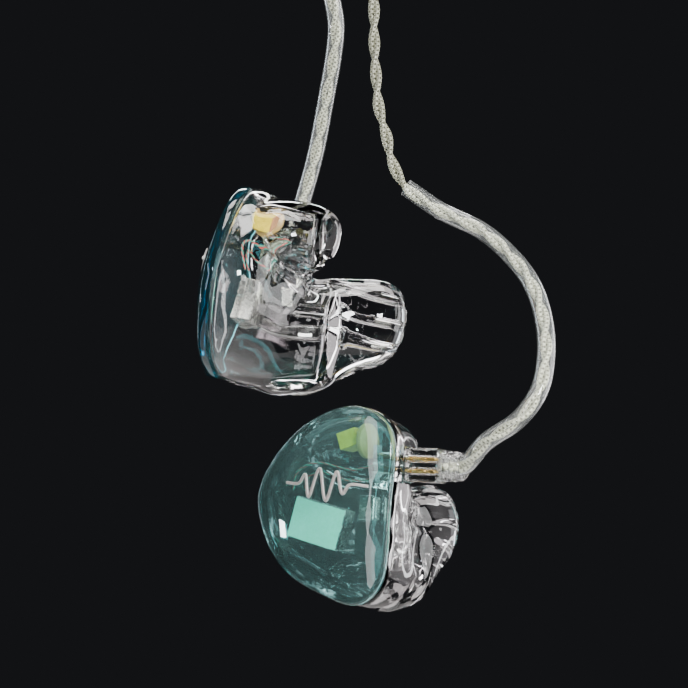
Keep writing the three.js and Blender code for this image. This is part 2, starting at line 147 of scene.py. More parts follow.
# points of the hooks and of the leads above them, in the shared frame
RIGHT_HOOK = [
    (20.7, -17.0, -157.4), (25.5, -19.5, -153.8), (28.5, -19.5, -149.6), (29.8, -17.5, -144.0),
    (29.6, -14.5, -138.0), (28.1, -11.5, -132.9), (25.2, -9.0, -128.7), (20.8, -6.5, -124.6),
    (14.4, -4.5, -121.3), (9.0, -3.0, -117.5),
]
RIGHT_RISE = [
    (6.7, -2.5, -113.2), (5.8, -2.0, -109.0), (4.7, -1.5, -104.9), (4.2, -1.0, -99.5),
    (3.9, -0.7, -93.9), (3.8, -0.4, -87.1), (2.9, 0.0, -78.0), (1.7, 0.0, -70.0),
]
LEFT_HOOK = [
    (-10.0, 17.0, -125.8), (-9.5, 19.6, -122.6), (-8.0, 20.8, -117.6), (-5.8, 18.6, -109.8),
    (-4.1, 15.4, -101.5), (-2.6, 11.6, -93.4), (-2.3, 9.6, -89.2), (-2.9, 7.8, -85.6),
    (-4.2, 5.8, -79.3), (-4.7, 4.0, -73.2),
]
LEFT_RISE = [(-4.2, 2.2, -69.4), (-2.6, 0.7, -66.0)]


# ---------- curves ----------
def catmull(points, closed=False, per_span=16):
    """A smooth line through the points, centripetal so that it never loops."""
    pts = [Vector(p) for p in points]
    count = len(pts)
    if closed:
        pts = [pts[-1]] + pts + pts[:2]
    else:
        pts = [2 * pts[0] - pts[1]] + pts + [2 * pts[-1] - pts[-2]]
    line = []
    for i in range(count if closed else count - 1):
        p0, p1, p2, p3 = pts[i:i + 4]
        t1 = (p1 - p0).length ** 0.5
        t2 = t1 + (p2 - p1).length ** 0.5
        t3 = t2 + (p3 - p2).length ** 0.5
        for k in range(per_span):
            t = t1 + (t2 - t1) * k / per_span
            a1 = p0 * ((t1 - t) / t1) + p1 * (t / t1)
            a2 = p1 * ((t2 - t) / (t2 - t1)) + p2 * ((t - t1) / (t2 - t1))
            a3 = p2 * ((t3 - t) / (t3 - t2)) + p3 * ((t - t2) / (t3 - t2))
            b1 = a1 * ((t2 - t) / t2) + a2 * (t / t2)
            b2 = a2 * ((t3 - t) / (t3 - t1)) + a3 * ((t - t1) / (t3 - t1))
            line.append(b1 * ((t2 - t) / (t2 - t1)) + b2 * ((t - t1) / (t2 - t1)))
    if not closed:
        line.append(pts[-2])
    return line


def resample(line, step):
    """The same line with points an even step apart."""
    out = [line[0]]
    left = step
    for a, b in zip(line, line[1:]):
        span = (b - a).length
        done = 0.0
        while span - done >= left:
            done += left
            out.append(a.lerp(b, done / span))
            left = step
        left -= span - done
    if (out[-1] - line[-1]).length > 0.3 * step:
        out.append(line[-1])
    return out


def frames(line, first):
    """A normal and a binormal at each point, carried along without twisting."""
    out = []
    normal = Vector(first)
    for i in range(len(line)):
        along = (line[min(i + 1, len(line) - 1)] - line[max(i - 1, 0)]).normalized()
        normal = (normal - along * normal.dot(along)).normalized()
        out.append((normal.copy(), along.cross(normal)))
    return out


# ---------- meshes, built in millimetres ----------
def link(name, data):
    obj = bpy.data.objects.new(name, data)
    bpy.context.scene.collection.objects.link(obj)
    return obj


def new_piece(name, verts, faces, place=None, uvs=None):
    mesh = bpy.data.meshes.new(name)
    where = place if place is not None else Matrix.Identity(4)
    mesh.from_pydata([tuple((where @ Vector(v)) * MM) for v in verts], [], faces)
    if uvs:
        layer = mesh.uv_layers.new(name="UVMap")
        for loop in mesh.loops:
            layer.data[loop.index].uv = uvs[loop.vertex_index]
    obj = link(name, mesh)
    face_outwards(obj)
    mesh.shade_smooth()
    return obj


def face_outwards(obj):
    bm = bmesh.new()
    bm.from_mesh(obj.data)
    bmesh.ops.recalc_face_normals(bm, faces=bm.faces)
    bm.to_mesh(obj.data)
    bm.free()


def ring_faces(rings, sides, closed_ends=True):
    faces = []
    for r in range(rings - 1):
        for i in range(sides):
            j = (i + 1) % sides
            faces.append((r * sides + i, r * sides + j, (r + 1) * sides + j, (r + 1) * sides + i))
    if closed_ends:
        faces.append(tuple(range(sides))[::-1])
        faces.append(tuple((rings - 1) * sides + i for i in range(sides)))
    return faces


def hoop_faces(rings, sides):
    """Faces over rings whose last one joins the first again."""
    faces = ring_faces(rings, sides, False)
    last = (rings - 1) * sides
    return faces + [(last + i, last + (i + 1) % sides, (i + 1) % sides, i) for i in range(sides)]


def loft(name, rings, place=None):
    verts = [p for ring in rings for p in ring]
    return new_piece(name, verts, ring_faces(len(rings), len(rings[0])), place)


def rod_verts(line, radius, sides, first, offset=None):
    """The skin of a round rod along a line: points and their place around and along it."""
    verts, uvs = [], []
    along = 0.0
    for i, (point, (n, b)) in enumerate(zip(line, frames(line, first))):
        if i:
            along += (point - line[i - 1]).length
        centre = point + (offset(along, n, b) if offset else Vector())
        for k in range(sides):
            angle = 2 * math.pi * k / sides
            verts.append(centre + radius * (math.cos(angle) * n + math.sin(angle) * b))
            uvs.append((k / sides, along))
    return verts, uvs


def rods(name, line, strands, radius, sides, first=(0, -1, 0), place=None):
    """Several strands along one line as one piece; each strand is an offset rule."""
    verts, uvs, faces = [], [], []
    for offset in strands:
        start = len(verts)
        v, u = rod_verts(line, radius, sides, first, offset)
        verts += v
        uvs += u
        faces += [tuple(start + i for i in f) for f in ring_faces(len(line), sides)]
    return new_piece(name, verts, faces, place, uvs)


def pipe(name, line, outer, inner, sides=32, first=(0, -1, 0), place=None):
    """A hollow tube: its outside, its bore and the two end faces."""
    out, _ = rod_verts(line, outer, sides, first)
    bore, _ = rod_verts(line, inner, sides, first)
    rings = len(line)
    base = len(out)
    faces = ring_faces(rings, sides, False)
    faces += [tuple(base + i for i in f)[::-1] for f in ring_faces(rings, sides, False)]
    for i in range(sides):
        j = (i + 1) % sides
        last = (rings - 1) * sides
        faces.append((i, base + i, base + j, j))
        faces.append((last + i, last + j, base + last + j, base + last + i))
    return new_piece(name, out + bore, faces, place)


def turned_rings(profile, start, axis, sides):
    """A ring for each (distance along the axis, radius) point."""
    line = Vector(axis).normalized()
    side = line.orthogonal().normalized()
    other = line.cross(side)
    rings = []
    for along, radius in profile:
        centre = Vector(start) + line * along
        rings.append([centre + max(radius, 0.001) * (math.cos(a) * side + math.sin(a) * other)
                      for a in (2 * math.pi * k / sides for k in range(sides))])
    return rings


def lathe(name, profile, start, axis, place=None, sides=48):
    """A turned piece, closed at both ends."""
    return loft(name, turned_rings(profile, start, axis, sides), place)


def collar(name, profile, hole, start, axis, place=None, sides=48):
    """A turned piece with a straight hole through it."""
    profile = profile + [(profile[-1][0], hole), (profile[0][0], hole)]
    verts = [p for ring in turned_rings(profile, start, axis, sides) for p in ring]
    return new_piece(name, verts, hoop_faces(len(profile), sides), place)


def rounded_box(name, size, centre, rounding, place=None, turn=None):
    bm = bmesh.new()
    bmesh.ops.create_cube(bm, size=1.0)
    bmesh.ops.scale(bm, vec=size, verts=bm.verts)
    bmesh.ops.bevel(bm, geom=bm.edges[:], offset=rounding, segments=3, profile=0.7,
                    affect="EDGES")
    where = place if place is not None else Matrix.Identity(4)
    local = Matrix.Translation(centre) @ (turn if turn is not None else Matrix.Identity(4))
    bmesh.ops.transform(bm, matrix=Matrix.Scale(MM, 4) @ where @ local, verts=bm.verts)
    bmesh.ops.recalc_face_normals(bm, faces=bm.faces)
    mesh = bpy.data.meshes.new(name)
    bm.to_mesh(mesh)
    bm.free()
    obj = link(name, mesh)
    mesh.shade_smooth()
    mesh.set_sharp_from_angle(angle=math.radians(40))
    return obj


def join(name, objs):
    """Several built pieces as one object."""
    bpy.ops.object.select_all(action="DESELECT")
    for obj in objs:
        obj.select_set(True)
    bpy.context.view_layer.objects.active = objs[0]
    bpy.ops.object.join()
    objs[0].name = name
    objs[0].data.name = name
    return objs[0]


def apply_modifiers(obj):
    graph = bpy.context.evaluated_depsgraph_get()
    mesh = bpy.data.meshes.new_from_object(obj.evaluated_get(graph))
    obj.modifiers.clear()
    obj.data = mesh
    return obj


def cut(obj, cutter):
    """Takes the cutter's shape out of the piece."""
    mod = obj.modifiers.new("cut", "BOOLEAN")
    mod.operation = "DIFFERENCE"
    mod.object = cutter
    mod.solver = "MANIFOLD"
    apply_modifiers(obj)
    bpy.data.objects.remove(cutter)


# ---------- materials ----------
GLOSS_SPREAD = 0.08


def material(name, base, roughness, metallic=0.0, transmission=0.0, ior=1.5, coat=0.0):
    mat = bpy.data.materials.new(name)
    mat.use_nodes = True
    shader = mat.node_tree.nodes["Principled BSDF"]
    shader.inputs["Base Color"].default_value = (*base, 1)
    shader.inputs["Roughness"].default_value = roughness
    shader.inputs["Metallic"].default_value = metallic
    shader.inputs["Transmission Weight"].default_value = transmission
    shader.inputs["IOR"].default_value = ior
    shader.inputs["Coat Weight"].default_value = coat
    shader.inputs["Coat Roughness"].default_value = 0.05
    return mat, mat.node_tree.nodes, mat.node_tree.links, shader


def add_node(nodes, kind, **values):
    node = nodes.new(kind)
    for key, value in values.items():
        if key in node.inputs:
            node.inputs[key].default_value = value
        else:
            setattr(node, key, value)
    return node


def noise_node(nodes, links, scale, detail=4.0, rough=0.55):
    coords = nodes.new("ShaderNodeTexCoord")
    tex = add_node(nodes, "ShaderNodeTexNoise", Scale=scale, Detail=detail, Roughness=rough)
    links.new(coords.outputs["Object"], tex.inputs["Vector"])
    return tex


def ramp_node(nodes, links, source, stops):
    ramp = nodes.new("ShaderNodeValToRGB")
    links.new(source, ramp.inputs["Fac"])
    for element, (place, color) in zip(ramp.color_ramp.elements, stops):
        element.position, element.color = place, (*color, 1)
    return ramp


def range_node(nodes, links, source, low, high):
    out = nodes.new("ShaderNodeMapRange")
    links.new(source, out.inputs["Value"])
    out.inputs["To Min"].default_value = low
    out.inputs["To Max"].default_value = high
    return out


def math_node(nodes, links, operation, *values):
    """A sum on other nodes' outputs and plain numbers."""
    node = add_node(nodes, "ShaderNodeMath", operation=operation)
    for socket, value in zip(node.inputs, values):
        if isinstance(value, float):
            socket.default_value = value
        else:
            links.new(value, socket)
    return node.outputs[0]


def bump(nodes, links, shader, height, distance, strength):
    node = add_node(nodes, "ShaderNodeBump", Strength=strength, Distance=distance)
    links.new(height, node.inputs["Height"])
    links.new(node.outputs["Normal"], shader.inputs["Normal"])


def varied(name, dark, light, roughness, metallic, scale, depth=0.00002, coat=0.0):
    """A finish whose colour, gloss and surface all vary with one fine noise."""
    mat, nodes, links, shader = material(name, light, roughness, metallic, coat=coat)
    tex = noise_node(nodes, links, scale)
    ramp = ramp_node(nodes, links, tex.outputs["Fac"], [(0.3, dark), (0.7, light)])
    links.new(ramp.outputs["Color"], shader.inputs["Base Color"])
    rough = range_node(nodes, links, tex.outputs["Fac"], roughness - GLOSS_SPREAD,
                       roughness + GLOSS_SPREAD)
    links.new(rough.outputs["Result"], shader.inputs["Roughness"])
    bump(nodes, links, shader, tex.outputs["Fac"], depth, 0.5)
    return mat


def clear(name, base, ior, scale, depth, transmission=1.0, rough=(0.0, 0.04)):
    """Polished clear plastic: faint waves and a few duller patches from handling."""
    mat, nodes, links, shader = material(name, base, 0.02, transmission=transmission, ior=ior)
    waves = noise_node(nodes, links, scale, 2.0)
    patches = noise_node(nodes, links, scale * 2.6, 5.0)
    smear = range_node(nodes, links, patches.outputs["Fac"], rough[0], rough[1])
    links.new(smear.outputs["Result"], shader.inputs["Roughness"])
    bump(nodes, links, shader, waves.outputs["Fac"], depth, 0.6)
    return mat


def tint(mat, color, density):
    """Colour that deepens with the thickness that light passes through."""
    nodes, links = mat.node_tree.nodes, mat.node_tree.links
    volume = add_node(nodes, "ShaderNodeVolumeAbsorption", Density=density)
    volume.inputs["Color"].default_value = (*color, 1)
    links.new(volume.outputs["Volume"], nodes["Material Output"].inputs["Volume"])


def braid(name, dark, light, around, pitch, metallic):
    """Crossing threads round a strand, their low places painted darker as shade: U goes round it
    and V along it in millimetres.
    """
    mat, nodes, links, shader = material(name, light, 0.4, metallic, coat=0.35)
    uv = nodes.new("ShaderNodeUVMap")
    uv.uv_map = "UVMap"
    split = nodes.new("ShaderNodeSeparateXYZ")
    links.new(uv.outputs["UV"], split.inputs["Vector"])
    waves = []
    for sign in (1, -1):
        turn = math_node(nodes, links, "MULTIPLY", split.outputs["X"], around * 2 * math.pi)
        run = math_node(nodes, links, "MULTIPLY", split.outputs["Y"], sign * 2 * math.pi / pitch)
        waves.append(math_node(nodes, links, "SINE", math_node(nodes, links, "ADD", turn, run)))
    over = math_node(nodes, links, "MAXIMUM", *waves)
    height = range_node(nodes, links, over, 0.0, 1.0)
    height.inputs["From Min"].default_value = -0.6
    # painted shade: the ramp gives the weave's low places between the threads the dark colour
    ramp = ramp_node(nodes, links, height.outputs["Result"], [(0.25, dark), (0.85, light)])
    links.new(ramp.outputs["Color"], shader.inputs["Base Color"])
    bump(nodes, links, shader, height.outputs["Result"], 0.00008, 0.8)
    return mat


ACRYLIC = clear("clear_acrylic", (0.985, 0.97, 0.98), 1.49, 150.0, 0.00006, rough=(0.0, 0.02))
TEAL = clear("teal_acrylic", (0.50, 0.67, 0.65), 1.49, 90.0, 0.00003, 0.955, (0.0, 0.02))
tint(TEAL, (0.05, 0.80, 0.82), 430.0)
# a darker copy of the teal acrylic for the left plate: painted shade
SHADED_TEAL = clear("shaded_teal_acrylic", (0.26, 0.60, 0.62), 1.49, 90.0, 0.00003, 0.98, (0.0, 0.02))
tint(SHADED_TEAL, (0.03, 0.72, 0.79), 430.0)
TUBE = clear("clear_vinyl", (0.93, 0.95, 0.93), 1.42, 300.0, 0.0001, rough=(0.02, 0.07))
HOOK = clear("hook_vinyl", (0.93, 0.95, 0.95), 1.45, 300.0, 0.00002, 0.965, (0.02, 0.06))
PLUG = clear("clear_plug_resin", (0.97, 0.97, 0.95), 1.5, 700.0, 0.0003, rough=(0.02, 0.10))
ROSE = varied("rose_metal", (0.50, 0.44, 0.42), (0.78, 0.70, 0.67), 0.42, 0.6, 2500.0)
MINT = varied("mint_can", (0.24, 0.95, 0.64), (0.36, 1.0, 0.78), 0.5, 0.0, 2200.0, 0.00003)
SMOKE = varied("smoky_steel", (0.10, 0.09, 0.095), (0.17, 0.15, 0.16), 0.18, 1.0, 1500.0, 0.000003)
CONTACT = varied("contact_bronze", (0.10, 0.08, 0.04), (0.28, 0.22, 0.12), 0.3, 1.0, 1800.0)
STEEL = varied("steel_can", (0.60, 0.62, 0.56), (0.78, 0.80, 0.73), 0.26, 1.0, 1500.0, 0.000003)
GOLD = varied("gold_plate", (0.75, 0.48, 0.14), (0.98, 0.72, 0.30), 0.22, 1.0, 1800.0)
BOARD = varied("board", (0.30, 0.20, 0.05), (0.46, 0.32, 0.10), 0.4, 0.0, 2600.0, 0.00004, 0.3)
CAPACITOR = varied("capacitor_resin", (0.54, 0.40, 0.02), (0.76, 0.60, 0.05), 0.35, 0.0, 1400.0)
BAND = varied("capacitor_band", (0.34, 0.16, 0.06), (0.48, 0.24, 0.10), 0.4, 0.0, 1400.0)
SOCKET_RESIN = clear("socket_resin", (0.70, 0.82, 0.78), 1.5, 700.0, 0.0001, rough=(0.02, 0.10))
RED = varied("red_enamel", (0.24, 0.02, 0.02), (0.45, 0.05, 0.04), 0.45, 0.0, 4000.0)
GREEN = varied("green_enamel", (0.01, 0.16, 0.12), (0.04, 0.36, 0.26), 0.45, 0.0, 4000.0)
# the dark colour here is painted shade in the hollows of the weave
LEAD = braid("silver_braid", (0.10, 0.10, 0.06), (0.60, 0.60, 0.46), 3, 0.75, 0.35)
RUBBER = varied("black_rubber", (0.012, 0.012, 0.013), (0.035, 0.035, 0.038), 0.6, 0.0, 1600.0,
                0.00004)
BLACK = varied("black_plastic", (0.02, 0.02, 0.022), (0.05, 0.05, 0.055), 0.35, 0.0, 1300.0)
FLOOR = varied("pale_floor", (0.62, 0.62, 0.61), (0.70, 0.70, 0.69), 0.7, 0.0, 60.0)


def dress(obj, mat, slot_name, body, *replaced):
    """Gives a piece its finish, its body and the CAD nodes it stands for."""
    obj.data.materials.clear()
    obj.data.materials.append(mat)
    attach(obj, body)
    if replaced:
        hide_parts(*replaced)
    return obj


def let_light_through(obj):
    """Clear pieces cast no solid shadow on what is inside or behind them."""
    obj.visible_shadow = False


# ---------- camera, lights, floor (metres) ----------
CAMERA_PLACE = (-0.00097, -0.308, -0.14248)
CAMERA_LENS = 99.9
ROOM_COLOR = (0.0092, 0.0096, 0.0110, 1)
MIDDLE = (0, 0, -0.145)
STRIPS_AT = Vector((0, -0.01, -0.16))
STRIP_WIDTH = 0.036
FLOOR_RADIUS = 0.13
FLOOR_HEIGHT = -0.30
WHITE = (1, 1, 1)
# where each soft light is, its width and height, its power and its colour
SOFT_LIGHTS = {
    "top_box": ((0.02, 0.01, 0.10), 0.16, 0.10, 0.7, (1.0, 0.98, 0.95)),
    "top_back": ((-0.02, 0.26, 0.06), 0.24, 0.03, 0.45, WHITE),
    "left_rim": ((-0.22, 0.20, -0.10), 0.02, 0.26, 0.12, (0.80, 0.92, 1.0)),
    "right_rim": ((0.22, 0.20, -0.12), 0.02, 0.26, 0.12, WHITE),
    "left_back": ((-0.28, 0.22, -0.14), 0.26, 0.34, 0.055, (0.96, 0.98, 1.0)),
    "right_back": ((0.28, 0.22, -0.14), 0.26, 0.34, 0.19, (1.0, 0.95, 0.97)),
    "low_back": ((0.0, 0.26, -0.40), 0.36, 0.16, 0.13, (1.0, 0.95, 0.93)),
    "right_box": ((0.30, -0.03, -0.12), 0.16, 0.24, 0.6, WHITE),
    "front_left": ((-0.31, 0.0, -0.20), 0.02, 0.03, 0.15, WHITE),
    "front_right": ((0.12, -0.33, -0.06), 0.07, 0.07, 1.6, WHITE),
}


def make_camera():
    data = bpy.data.cameras.new("camera")
    data.sensor_width = 36
    data.lens = CAMERA_LENS
    data.clip_start = 0.01
    data.dof.use_dof = False
    camera = link("camera", data)
    camera.location = CAMERA_PLACE
    camera.rotation_euler = (math.radians(90), 0, 0)
    bpy.context.scene.camera = camera


def soft_light(name, where, at, width, height, energy, color=WHITE):
    data = bpy.data.lights.new(name, "AREA")
    data.shape = "RECTANGLE"
    data.size = width
    data.size_y = height
    data.energy = energy
    data.color = color
    light = link(name, data)
    light.location = where
    light.rotation_euler = (Vector(at) - Vector(where)).to_track_quat("-Z", "Y").to_euler()
    light.visible_camera = False
    return light


def strip_light(name, top, bottom, energy):
    """A narrow upright light between two points, facing the object."""
    top, bottom = Vector(top), Vector(bottom)
    middle = (top + bottom) / 2
    light = soft_light(name, middle, STRIPS_AT, STRIP_WIDTH, (top - bottom).length, energy)
    ahead = (STRIPS_AT - middle).normalized()
    up = (top - bottom).normalized()
    up = (up - ahead * up.dot(ahead)).normalized()
    side = up.cross(-ahead).normalized()
    light.rotation_euler = Matrix((side, up, -ahead)).transposed().to_euler()


def make_studio():
    world = bpy.data.worlds.new("dark_room")
    world.use_nodes = True
    background = world.node_tree.nodes["Background"]
    background.inputs["Color"].default_value = ROOM_COLOR
    background.inputs["Strength"].default_value = 1.0
    bpy.context.scene.world = world
    strip_light("strip_upper", (-0.288, -0.28, 0.131), (-0.080, -0.28, -0.122), 0.28)
    strip_light("strip_lower", (-0.077, -0.28, -0.128), (-0.160, -0.28, -0.258), 0.12)
    for name, (where, width, height, energy, color) in SOFT_LIGHTS.items():
        soft_light(name, where, MIDDLE, width, height, energy, color)


def make_floor():
    bm = bmesh.new()
    bmesh.ops.create_circle(bm, cap_ends=True, radius=FLOOR_RADIUS, segments=96)
    bmesh.ops.translate(bm, vec=(0, 0, FLOOR_HEIGHT), verts=bm.verts)
    mesh = bpy.data.meshes.new("floor")
    bm.to_mesh(mesh)
    bm.free()
    floor = link("floor", mesh)
    floor.data.materials.append(FLOOR)


# ---------- leads and cable ----------
def ring_point(degrees, outwards, across):
    angle = math.radians(degrees)
    radius = COIL_RADIUS + outwards
    return Vector((radius * math.cos(angle), across, COIL_CENTRE + radius * math.sin(angle)))


def plug_point(place, along):
    return place @ Vector((SOCKET_FACE + PLUG_LENGTH + along, SOCKET[0], SOCKET[1]))


def hook_route(side):
    """From inside the plug's collar, over the ear and out of the hook."""
    hook = RIGHT_HOOK if side == "right" else LEFT_HOOK
    inside = (PLATE_GAP, COLLAR_LENGTH / 2, COLLAR_LENGTH)
    return [plug_point(PLACES[side], along) for along in inside] + [Vector(p) for p in hook]


def twist(turns_apart, radius, pitch):
    """The place of one strand that winds round a line."""
    def offset(along, n, b):
        angle = 2 * math.pi * (along / pitch + turns_apart)
        return radius * (math.cos(angle) * n + math.sin(angle) * b)
    return offset


def lead_route(side):
    """From the plug over the ear, up through the slider, twice round the coil, to the split."""
    sign = 1 if side == "right" else -1
    x = sign * LEAD_SPACING
    route = hook_route(side) + [Vector(p) for p in (RIGHT_RISE if side == "right" else LEFT_RISE)]
    route += [Vector((x, 0, z)) for z in (-63, -58, -51, -44, -38.5, -34.6)]
    route += [Vector(p) for p in ((x * 0.8 + 1.2, sign * 1.4, -31.9),
                                  (x * 0.4 + 4.2, sign * 3.1, -29.5),
                                  (x * 0.3 + 8.0, sign * 3.8, -26.5), (11.8, sign * 3.9, -23.2))]
    route += [ring_point(-30, 2.3, sign * 3.1)]
    for (outwards, across), turn in ((LEAD_INNER, range(-15, 271, 15)),
                                     (LEAD_OUTER, range(330, 631, 15))):
        route += [ring_point(a, outwards, sign * across) for a in turn]
    route += [ring_point(a, r, sign * 1.2) for a, r in
              ((655, 5.4), (670, 7.4), (685, 8.9), (696, 9.2))]
    return route + [Vector((SPLIT_X, sign * 0.98, z)) for z in (-15.8, -12.5)]


def main_route():
    """From the split into the coil, nine turns, and down to the jack."""
    route = [Vector((SPLIT_X, 0, z)) for z in (-7.0, -3.8)]
    route += [ring_point(a, r, y) for a, r, y in
              ((30, 8.0, 1.0), (45, 6.6, 2.9), (60, 3.6, 4.4), (75, 0.2, 5.9), (90, -2.9, 4.9),
               (103, -4.3, 2.9))]
    angle = CABLE_START
    for slot in CABLE_SLOTS:
        route += [ring_point(angle + a, *slot) for a in range(0, 291, 15)]
        angle += CABLE_TURN
    last = angle - CABLE_TURN + 290
    route += [ring_point(last + a, r, y) for a, r, y in
              ((17, 0.3, -3.9), (33, 1.9, -4.6), (48, 4.2, -4.0), (62, 6.0, -2.2))]
    return route + [Vector((JACK_X + 0.2, -0.9, -15.5)), Vector((JACK_X, -0.2, -19)),
                    Vector((JACK_X, 0, -23.5)), Vector((JACK_X, 0, -29))]


def make_cords():
    split = lathe("split_barrel", [(0.0, 1.9), (0.25, 2.35), (0.8, 2.6), (2.4, 2.6), (2.6, 2.42),
                                   (3.0, 2.42), (3.2, 2.6), (8.8, 2.6), (9.0, 2.42), (9.4, 2.42),
                                   (9.6, 2.6), (11.2, 2.6), (11.75, 2.3), (12.0, 1.6)],
                  (SPLIT_X, 0, -15.8), (0, 0, 1))
    dress(split, STEEL, "steel_can", "cable", "y_split")
    for side in ("right", "left"):
        line = resample(catmull(lead_route(side)), 0.5)
        strands = [twist(k / 2, LEAD_TWIST, LEAD_PITCH) for k in range(2)]
        lead = rods(f"{side}_lead_strands", line, strands, LEAD_STRAND, 12)
        dress(lead, LEAD, "braid", "cable", f"{side}_lead")
    line = resample(catmull(main_route(), per_span=8), 0.7)
    strands = [twist(k / 4, CABLE_TWIST, CABLE_PITCH) for k in range(4)]
    cable = rods("main_cable_strands", line, strands, CABLE_STRAND, 8)
    dress(cable, LEAD, "braid", "cable", "cable_coil", "cable_tail")
    plug = make_jack()


def make_jack():
    """Boot, barrel, three contacts and the insulator between them, from the top down."""
    down = (0, 0, -1)
    contacts = -49.6
    relief = [(0.0, 1.35), (0.3, 1.55), (1.0, 1.6)]
    for i in range(4):
        z, rib = 1.4 + i * 1.5, i * 0.08
        relief += [(z, 1.7 + rib), (z + 0.15, 1.45), (z + 0.65, 1.45), (z + 0.8, 1.78 + rib)]
    relief += [(7.7, 2.1), (8.0, 2.1)]
    barrel = [(0, 2.6), (0.5, 3.3), (1.4, 3.75), (2.2, 3.9), (4.0, 3.9), (4.15, 3.7), (4.6, 3.7),
              (4.75, 3.9), (15.4, 3.9), (16.4, 3.6), (16.8, 3.1), (17.0, 2.4)]
    core = [(0, 1.1), (5.2, 1.1), (5.2, 1.74), (5.9, 1.74), (5.9, 1.1), (8.4, 1.1), (8.4, 1.74),
            (9.1, 1.74), (9.1, 1.1), (9.3, 1.1)]
    tip = [(0, 1.5), (0.1, 1.6), (1.4, 1.6), (1.75, 1.42), (2.2, 1.17), (2.5, 1.28), (2.9, 1.52),
           (3.3, 1.42), (3.9, 1.0), (4.3, 0.55), (4.5, 0.05)]
    boot = lathe("jack_boot", relief, (JACK_X, 0, -24), down)
    shell = lathe("jack_shell", barrel, (JACK_X, 0, -32.3), down, sides=64)
    inner = lathe("jack_core", core, (JACK_X, 0, contacts), down)
    sleeve = collar("jack_sleeve_tube", [(0, 1.7), (0.1, 1.75), (4.8, 1.75), (4.9, 1.7)], 1.35,
                    (JACK_X, 0, contacts), down)
    ring = collar("jack_ring_tube", [(0, 1.7), (0.1, 1.75), (1.8, 1.75), (1.9, 1.7)], 1.35,
                  (JACK_X, 0, contacts - 6.2), down)
    cone = lathe("jack_tip_cone", tip, (JACK_X, 0, contacts - 9.4), down)
    dress(boot, RUBBER, "black_rubber", "cable", "jack_strain_relief")
    dress(shell, STEEL, "steel_can", "cable", "jack_barrel")
    dress(inner, BLACK, "black_plastic", "cable", "jack_insulator")
    dress(sleeve, GOLD, "gold_plate", "cable", "jack_sleeve")
    dress(ring, GOLD, "gold_plate", "cable", "jack_ring")
    dress(cone, GOLD, "gold_plate", "cable", "jack_tip")
    return [boot, shell, inner, sleeve, ring, cone]


def make_tie():
    """A strap round the bundle of turns, with a raised middle."""
    angle = math.radians(STRAP_ANGLE)
    middle = ring_point(STRAP_ANGLE, 0, 0)
    out = Vector((math.cos(angle), 0, math.sin(angle)))
    along = Vector((-math.sin(angle), 0, math.cos(angle)))
    sides = 72
    profile = [(-3.0, 0.12), (-2.8, 0.0), (2.8, 0.0), (3.0, 0.12), (3.0, 0.6), (2.8, 0.75),
               (1.0, 0.8), (-1.0, 0.8), (-2.8, 0.75), (-3.0, 0.6)]
    verts = []
    for offset, lift in profile:
        for a in (2 * math.pi * k / sides for k in range(sides)):
            verts.append(middle + along * offset + (STRAP_RADIUS + lift)
                         * (math.cos(a) * out + math.sin(a) * Vector((0, 1, 0))))
    tie = new_piece("coil_strap", verts, hoop_faces(len(profile), sides))
    dress(tie, RUBBER, "black_rubber", "cable", "coil_tie")


def make_slider():
    profile = [(0, 2.3), (0.3, 2.65), (0.9, 2.9), (4.2, 2.9), (4.4, 2.7), (5.6, 2.7), (5.8, 2.9),
               (9.1, 2.9), (9.7, 2.65), (10, 2.3)]
    slider = lathe("slider_bead", profile, (0, 0, SLIDER_BOTTOM), (0, 0, 1), sides=64)
    for side in (-1, 1):
        cut(slider, lathe("hole", [(-1, SLIDER_HOLE), (SLIDER_LENGTH + 1, SLIDER_HOLE)],
                          (side * LEAD_SPACING, 0, SLIDER_BOTTOM), (0, 0, 1), sides=32))
    dress(slider, BLACK, "black_plastic", "slider", "chin_slider")


# ---------- shells ----------
def plate_samples():
    curve = catmull([(f - PLATE_CENTRE[0], u - PLATE_CENTRE[1], 0) for f, u in PLATE_OUTLINE],
                    closed=True, per_span=40)
    return sorted((math.atan2(p.y, p.x), math.hypot(p.x, p.y)) for p in curve)


PLATE_SAMPLES = plate_samples()


def plate_radius(angle):
    wrapped = math.atan2(math.sin(angle), math.cos(angle))
    low = PLATE_SAMPLES[-1][0] - 2 * math.pi, PLATE_SAMPLES[-1][1]
    for sample in PLATE_SAMPLES + [(PLATE_SAMPLES[0][0] + 2 * math.pi, PLATE_SAMPLES[0][1])]:
        if sample[0] >= wrapped:
            share = (wrapped - low[0]) / max(sample[0] - low[0], 1e-9)
            return low[1] + (sample[1] - low[1]) * share
        low = sample
    return low[1]


def dome_depth(forward, up):
    x, z = forward - PLATE_CENTRE[0], up - PLATE_CENTRE[1]
    share = math.hypot(x, z) / plate_radius(math.atan2(z, x))
    return -PLATE_GAP - PLATE_EDGE - PLATE_DOME * (1 - share * share)


def smooth_levels(levels, steps=6):
    """More levels between the given ones, on a smooth curve through them."""
    out = []
    for i in range(len(levels) - 1):
        p0, p1 = levels[max(i - 1, 0)], levels[i]
        p2, p3 = levels[i + 1], levels[min(i + 2, len(levels) - 1)]
        for k in range(steps):
            t = k / steps
            out.append(tuple(0.5 * (2 * b + (c - a) * t + (2 * a - 5 * b + 4 * c - d) * t * t
                                    + (3 * b - a - 3 * c + d) * t ** 3)
                             for a, b, c, d in zip(p0, p1, p2, p3)))
    out.append(levels[-1])
    return out


def shell_ring(level, inset, sides):
    depth, above, below, forward, up, scale = level
    ring = []
    for i in range(sides):
        angle = 2 * math.pi * i / sides
        share = below + (above - below) * (1 + math.sin(angle)) / 2
        canal = 1 / math.hypot(math.cos(angle) / CANAL_HALF[0], math.sin(angle) / CANAL_HALF[1])
        radius = scale * (plate_radius(angle) * (1 - share) + canal * share) - inset
        ring.append(Vector((forward + radius * math.cos(angle), depth,
                            up + radius * math.sin(angle))))
    return ring


